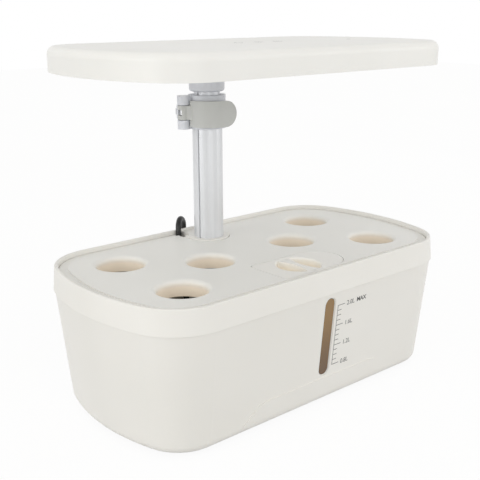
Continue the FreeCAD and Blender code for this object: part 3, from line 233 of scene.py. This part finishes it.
def gauge_pane():
    """Clear pane over dark tank water, whose look is painted on: amber light, with painted shade
    darker downwards; glossy.
    """
    s = Shader("gauge_pane")
    # painted shade and light: the tank behind the pane, dark amber low down and lighter amber higher
    # up
    level = s.step(s.height(), *GAUGE_FADE)
    painted_shade = s.mix(level, linear(94, 68, 42), linear(148, 116, 68))
    cloud = s.noise(70.0, 3.0, stretch=(1.0, 1.0, 0.35))
    s.link(s.mix(s.number(cloud, 0.0, 0.35), painted_shade, linear(128, 94, 50)),
           s.surface.inputs["Base Color"])
    s.surface.inputs["Roughness"].default_value = 0.22
    s.surface.inputs["Coat Weight"].default_value = 0.12
    s.bump(s.noise(120.0), 0.03)
    return s


def black_rubber(name="black_rubber", tone=22, rough=0.5):
    """Dull black rubber around a grey tone given in 0 to 255."""
    s = Shader(name)
    s.link(s.spread(s.noise(260.0, 4.0), 0.3, 0.8, linear(tone - 8, tone - 8, tone - 6),
                    linear(tone + 8, tone + 8, tone + 9)), s.surface.inputs["Base Color"])
    s.link(s.number(s.noise(700.0), rough - 0.1, rough + 0.12), s.surface.inputs["Roughness"])
    s.bump(s.noise(1200.0), 0.12)
    return s


def milky_sheet():
    """Milky plastic of the diffuser, a little clear."""
    s = Shader("milky_sheet")
    s.link(s.spread(s.noise(20.0), 0.3, 0.8, linear(236, 236, 232), linear(246, 246, 243)),
           s.surface.inputs["Base Color"])
    s.surface.inputs["Roughness"].default_value = 0.28
    s.surface.inputs["Transmission Weight"].default_value = 0.25
    s.bump(s.noise(1500.0), 0.06)
    return s


def circuit_board():
    """White board with faint raised patches of solder mask."""
    s = Shader("circuit_board")
    s.link(s.spread(s.noise(140.0, 2.0), 0.48, 0.52, linear(236, 236, 230), linear(222, 223, 216)),
           s.surface.inputs["Base Color"])
    s.surface.inputs["Roughness"].default_value = 0.35
    s.bump(s.noise(140.0, 2.0), 0.1)
    return s


def light_chip():
    """Yellow phosphor of the light chips."""
    s = Shader("light_chip")
    s.link(s.spread(s.noise(500.0), 0.3, 0.7, linear(238, 205, 90), linear(250, 226, 130)),
           s.surface.inputs["Base Color"])
    s.surface.inputs["Roughness"].default_value = 0.3
    return s


def ink(name, tone):
    """Pad-printed ink with slightly uneven cover."""
    s = Shader(name)
    s.link(s.spread(s.noise(900.0, 3.0), 0.25, 0.75, linear(tone, tone, tone),
                    linear(tone + 30, tone + 30, tone + 31)), s.surface.inputs["Base Color"])
    s.surface.inputs["Roughness"].default_value = 0.6
    return s


def dress(node, shader):
    """Material and smooth shading for a carried-over node."""
    for obj in [o for o in bpy.data.objects if o.type == "MESH" and o.name.split(".")[0] == node]:
        obj.data.materials.clear()
        obj.data.materials.append(shader.material)
        obj.data.shade_smooth()
        obj.data.set_sharp_from_angle(angle=math.radians(SHARP_ANGLE))
        obj.data.update()


TANK = moulded("tank_plastic", linear(239, 237, 232), linear(234, 232, 226))
HEAD = moulded("head_plastic", linear(241, 240, 236), linear(236, 235, 230), rough=0.38)
SEAL = moulded("soft_seal", linear(222, 220, 214), linear(212, 210, 204), rough=0.6)
COLLAR = moulded("collar_plastic", linear(230, 232, 238), linear(224, 226, 232), rough=0.36)
LEVER = moulded("lever_plastic", linear(207, 208, 205), linear(200, 201, 198), rough=0.42)
DARK = moulded("dark_plastic", linear(44, 44, 47), linear(34, 34, 37), rough=0.4)
DECK = deck_plastic()
COVER = cover_plastic()
METAL = tube_metal()
STEEL = bright_steel()
PANE = gauge_pane()
RUBBER = black_rubber()
LEAD = black_rubber("lead_rubber", 18, 0.42)
MILKY = milky_sheet()
BOARD = circuit_board()
CHIP = light_chip()
INK = ink("grey_ink", 80)
STRONG_INK = ink("strong_ink", 60)

FINISHES = {
    TANK: ["tub", "socket_plate"],
    HEAD: ["head_shell", "head_frame", "touch_panel"],
    DECK: ["deck_plate"],
    COVER: ["filler_cover"],
    SEAL: ["window_gasket"],
    PANE: ["window_lens"],
    METAL: ["mast_outer_tube", "mast_inner_tube"],
    STEEL: ["socket_screws", "clamp_pin", "clamp_bolt", "clamp_nut", "head_screws"],
    COLLAR: ["clamp_collar", "head_collar"],
    LEVER: ["clamp_lever"],
    DARK: ["pump_socket", "power_inlet", "mast_slider", "indicator_lens", "pump_body", "pump_filter",
           "lamp_lead"],
    RUBBER: ["feet", "pump_feet"],
    LEAD: ["pump_lead", "pump_plug"],
    MILKY: ["led_diffuser"],
    BOARD: ["led_board", "control_board"],
    CHIP: ["led_chips"],
}
for shader, nodes in FINISHES.items():
    for node in nodes:
        dress(node, shader)


def on_wall(x, z, out=0.0):
    """Point on the leaning front wall, in metres, from millimetres along x and height z."""
    up = (z - WALL_FOOT_Z) / math.cos(WALL_LEAN)
    y = WALL_FOOT_Y - up * math.sin(WALL_LEAN) - out * math.cos(WALL_LEAN)
    return Vector((x, y, z - out * math.sin(WALL_LEAN))) * MM


def bar_on_wall(bm, x0, x1, z0, z1):
    """Thin printed bar on the front wall, between two places along x and two heights."""
    corners = [(x0, z0), (x1, z0), (x1, z1), (x0, z1)]
    bm.faces.new([bm.verts.new(on_wall(x, z, PRINT_LIFT)) for x, z in corners])


# Printing in millimetres: how far bars and letters stand off, so that they don't share a face
PRINT_LIFT = 0.04
LETTER_LIFT = 0.05
LETTER_SIZE = 1.35  # font size per height asked for; the letters come out a little lower
LETTER_SPACING = 0.95

# Litre scale in millimetres: its line, its marks from the top down, and the ticks between them
SCALE_X = 9.7
MARK_TOP = 68.3
MARK_STEP = 14.03
MARKS = ["2.0L", "1.6L", "1.2L", "0.8L"]
TICKS_PER_MARK = 4
LINE_HALF = 0.2
LONG_TICK = 6.4
SHORT_TICK = 3.6

# Numbers of the scale and the word at the top mark: left edge, drop below the mark, height asked for
NUMBER_X, NUMBER_DROP, NUMBER_HEIGHT = 17.8, 1.6, 3.4
MAX_X, MAX_DROP, MAX_HEIGHT = 27.4, 1.5, 3.2
MAX_WEIGHT = 0.00008  # outwards offset of the letter outlines, in metres


def gauge_scale():
    """Printed litre scale beside the gauge window: line, ticks and numbers."""
    bm = bmesh.new()
    low = MARK_TOP - MARK_STEP * (len(MARKS) - 1)
    bar_on_wall(bm, SCALE_X - LINE_HALF, SCALE_X + LINE_HALF, low, MARK_TOP)
    for index in range(TICKS_PER_MARK * (len(MARKS) - 1) + 1):
        z = MARK_TOP - MARK_STEP * index / TICKS_PER_MARK
        reach = SHORT_TICK if index % TICKS_PER_MARK else LONG_TICK
        bar_on_wall(bm, SCALE_X, SCALE_X + reach, z - LINE_HALF, z + LINE_HALF)
    printed(finish_mesh("gauge_scale", bm, INK), "base")
    for index, text in enumerate(MARKS):
        words(text, NUMBER_X, MARK_TOP - MARK_STEP * index - NUMBER_DROP, NUMBER_HEIGHT, INK)
    words("MAX", MAX_X, MARK_TOP - MAX_DROP, MAX_HEIGHT, STRONG_INK, MAX_WEIGHT)


def finish_mesh(name, bm, shader):
    """Object in the scene from a finished bmesh, which is freed."""
    mesh = bpy.data.meshes.new(name)
    bm.to_mesh(mesh)
    bm.free()
    mesh.materials.append(shader.material)
    obj = bpy.data.objects.new(name, mesh)
    bpy.context.collection.objects.link(obj)
    return obj


def printed(piece, body):
    """Printing that rides on a body."""
    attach(piece, body)


def words(text, x, z, height, shader, weight=0.0):
    """Letters and numerals in the default font, printed flat on the front wall."""
    font = bpy.data.curves.new("mark_" + text, "FONT")
    font.body = text
    font.size = height * LETTER_SIZE * MM
    font.offset = weight
    font.space_character = LETTER_SPACING
    obj = bpy.data.objects.new("mark_" + text, font)
    bpy.context.collection.objects.link(obj)
    turn = Matrix.Rotation(math.pi / 2 + WALL_LEAN, 4, "X")
    obj.matrix_world = Matrix.Translation(on_wall(x, z, LETTER_LIFT)) @ turn
    bpy.context.view_layer.update()
    shown = obj.evaluated_get(bpy.context.evaluated_depsgraph_get())
    mesh = bpy.data.meshes.new_from_object(shown)
    mesh.transform(obj.matrix_world)
    mesh.materials.clear()
    mesh.materials.append(shader.material)
    bpy.data.objects.remove(obj)
    piece = bpy.data.objects.new("print_" + text.replace(".", "_"), mesh)
    bpy.context.collection.objects.link(piece)
    printed(piece, "base")


gauge_scale()

# Touch signs in millimetres: height of the panel, places along x and half the width of a line
SIGN_TOP = 229.4
SIGN_PLACES = (-12.0, 5.0, 22.0)
SIGN_HALF = 0.28

# Sizes of the signs: rings by radius, lines by where they start and end
POWER_RING, POWER_TURN, POWER_BAR = 2.6, (125, 415), (0.9, 3.4)
SUN_RING, SUN_RAY, SUN_RAYS = 1.5, (2.3, 3.5), 8
TIMER_RING, TIMER_HANDS = 2.9, ((0, 1.9), (0, 0), (1.3, -0.8))


def strip(bm, points, closed=False):
    """Flat printed line of even width through points given in millimetres."""
    count = len(points)
    rise = Vector((0, 0, SIGN_TOP + PRINT_LIFT))
    rims = []
    for i, point in enumerate(points):
        back = points[i - 1] if closed or i else point
        ahead = points[(i + 1) % count] if closed or i < count - 1 else point
        along = (Vector(ahead) - Vector(back)).normalized()
        side = Vector((-along.y, along.x)) * SIGN_HALF
        rims.append([bm.verts.new(((Vector(point) + side * way).to_3d() + rise) * MM)
                     for way in (1, -1)])
    for i in range(count if closed else count - 1):
        a, b = rims[i], rims[(i + 1) % count]
        bm.faces.new([a[0], a[1], b[1], b[0]])


def arc(centre, radius, start, end, steps=24):
    """Points on an arc, angles in degrees."""
    turn = [math.radians(start + (end - start) * i / steps) for i in range(steps + 1)]
    return [(centre + radius * math.cos(t), radius * math.sin(t)) for t in turn]


def touch_signs():
    """Generic signs: power, light and timer."""
    bm = bmesh.new()
    power, sun, timer = SIGN_PLACES
    strip(bm, arc(power, POWER_RING, *POWER_TURN))
    strip(bm, [(power, y) for y in POWER_BAR])
    strip(bm, arc(sun, SUN_RING, 0, 360)[:-1], closed=True)
    for k in range(SUN_RAYS):
        turn = math.radians(360 / SUN_RAYS * k)
        strip(bm, [(sun + r * math.cos(turn), r * math.sin(turn)) for r in SUN_RAY])
    strip(bm, arc(timer, TIMER_RING, 0, 360)[:-1], closed=True)
    strip(bm, [(timer + x, y) for x, y in TIMER_HANDS])
    bmesh.ops.recalc_face_normals(bm, faces=bm.faces)
    printed(finish_mesh("touch_signs", bm, INK), "mast_head")


touch_signs()

# Pump lead in millimetres. The route goes out of the pump, up the channel beside the mast, over
# the rim and down to the plug. The length is the stated one, and this line is about 2 mm longer.
LEAD_RADIUS = 2.0
LEAD_ROUTE = [(-34, 32, 34), (-33.6, 32.3, 41), (-31, 35, 49), (-26.6, 41, 56), (-22, 49, 61),
              (-18.6, 56, 67), (-14.4, 62.2, 74), (-13.0, 65.4, 82), (-13.0, 66.4, 90),
              (-13.2, 67.0, 97.8), (-8.2, 71.2, 102.2), (-2.0, 75.2, 98.2), (-0.9, 76.9, 89.5),
              (-0.6, 77.1, 78), (-0.8, 76.2, 66.5)]


def pump_lead():
    """Smooth round lead that stands for the plain tube of the solids."""
    curve = bpy.data.curves.new("lead", "CURVE")
    curve.dimensions = "3D"
    curve.bevel_depth = LEAD_RADIUS * MM
    curve.bevel_resolution = 6
    curve.use_fill_caps = True
    spline = curve.splines.new("NURBS")
    spline.points.add(len(LEAD_ROUTE) - 1)
    for point, place in zip(spline.points, LEAD_ROUTE):
        point.co = (*(Vector(place) * MM), 1.0)
    spline.order_u = 3
    spline.use_endpoint_u = True
    spline.resolution_u = 16
    curve.materials.append(LEAD.material)
    lead = bpy.data.objects.new("pump_lead_curve", curve)
    bpy.context.collection.objects.link(lead)
    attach(lead, "base")
    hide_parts("pump_lead")


pump_lead()


def photo_camera():
    """Camera that sees the object as the photograph does."""
    cam_data = bpy.data.cameras.new("camera")
    cam_data.lens = CAMERA_LENS
    cam_data.sensor_width = CAMERA_SENSOR
    cam = bpy.data.objects.new("camera", cam_data)
    bpy.context.collection.objects.link(cam)
    yaw, pitch = math.radians(CAMERA_YAW), math.radians(CAMERA_PITCH)
    look = Vector((math.sin(yaw) * math.cos(pitch), math.cos(yaw) * math.cos(pitch), -math.sin(pitch)))
    aim = look.to_track_quat("-Z", "Y").to_matrix().to_4x4()
    roll = Matrix.Rotation(math.radians(CAMERA_ROLL), 4, "Z")
    cam.matrix_world = Matrix.Translation(CAMERA_PLACE) @ aim @ roll
    bpy.context.scene.camera = cam
    bpy.context.scene.view_settings.view_transform = "Standard"


photo_camera()

# Strength of the surroundings, and the lamps: name, place in metres and power in watts
AMBIENT = 0.72
LAMPS = [
    ("key", (-0.45, -1.32, 0.45), 3.9),
    ("fill", (-1.3, 0.1, 0.35), 5.4),
    ("side", (1.2, -1.0, 0.4), 4.4),
]
LAMP_SIZE = 1.0
LAMP_AIM = (0, 0, 0.1)

# How much of what the camera sees of the floor is plain white, and how bright that white is
PLAIN_SHARE = 0.85
PLAIN_STRENGTH = 1.08

# Half the side of the floor, and how far it lies below the feet, in metres
FLOOR_HALF = 3.0
FLOOR_DROP = 0.0005


def seen_directly(tree):
    """1 for rays from the camera, from a reflection or through glass, otherwise 0."""
    path = tree.nodes.new("ShaderNodeLightPath")
    total = path.outputs["Is Camera Ray"]
    for kind in ("Is Glossy Ray", "Is Transmission Ray"):
        join = tree.nodes.new("ShaderNodeMath")
        join.operation = "MAXIMUM"
        tree.links.new(total, join.inputs[0])
        tree.links.new(path.outputs[kind], join.inputs[1])
        total = join.outputs[0]
    return total


def studio():
    """White surroundings that light the object softly, and three lamps."""
    world = bpy.data.worlds.new("studio")
    bpy.context.scene.world = world
    world.use_nodes = True
    tree = world.node_tree
    tree.nodes.clear()
    out = tree.nodes.new("ShaderNodeOutputWorld")
    mix = tree.nodes.new("ShaderNodeMixShader")
    soft = tree.nodes.new("ShaderNodeBackground")
    plain = tree.nodes.new("ShaderNodeBackground")
    soft.inputs["Color"].default_value = (1.0, 0.995, 0.985, 1.0)
    soft.inputs["Strength"].default_value = AMBIENT
    plain.inputs["Color"].default_value = (1.0, 1.0, 1.0, 1.0)
    tree.links.new(seen_directly(tree), mix.inputs["Fac"])
    tree.links.new(soft.outputs[0], mix.inputs[1])
    tree.links.new(plain.outputs[0], mix.inputs[2])
    tree.links.new(mix.outputs[0], out.inputs["Surface"])
    for name, place, power in LAMPS:
        area(name, place, power)


def area(name, place, power):
    """Round soft lamp that points at the object."""
    light = bpy.data.lights.new(name, "AREA")
    light.shape = "DISK"
    light.size = LAMP_SIZE
    light.energy = power
    obj = bpy.data.objects.new(name, light)
    bpy.context.collection.objects.link(obj)
    obj.location = place
    obj.rotation_mode = "QUATERNION"
    obj.rotation_quaternion = (Vector(LAMP_AIM) - Vector(place)).to_track_quat("-Z", "Y")


def floor():
    """Pale floor that reads as white and keeps a faint shadow."""
    bm = bmesh.new()
    bmesh.ops.create_grid(bm, x_segments=2, y_segments=2, size=FLOOR_HALF)
    s = Shader("floor")
    s.link(s.spread(s.noise(3.0), 0.3, 0.8, (0.50, 0.50, 0.49, 1), (0.54, 0.54, 0.53, 1)),
           s.surface.inputs["Base Color"])
    s.surface.inputs["Roughness"].default_value = 0.7
    plain = s.add("ShaderNodeEmission")
    plain.inputs["Color"].default_value = (1, 1, 1, 1)
    plain.inputs["Strength"].default_value = PLAIN_STRENGTH
    mix = s.add("ShaderNodeMixShader")
    s.link(s.number(seen_directly(s.tree), 0.0, PLAIN_SHARE), mix.inputs["Fac"])
    s.link(s.surface.outputs[0], mix.inputs[1])
    s.link(plain.outputs[0], mix.inputs[2])
    s.link(mix.outputs[0], s.tree.nodes["Material Output"].inputs["Surface"])
    obj = finish_mesh("floor", bm, s)
    obj.location.z = -FLOOR_DROP


studio()
floor()
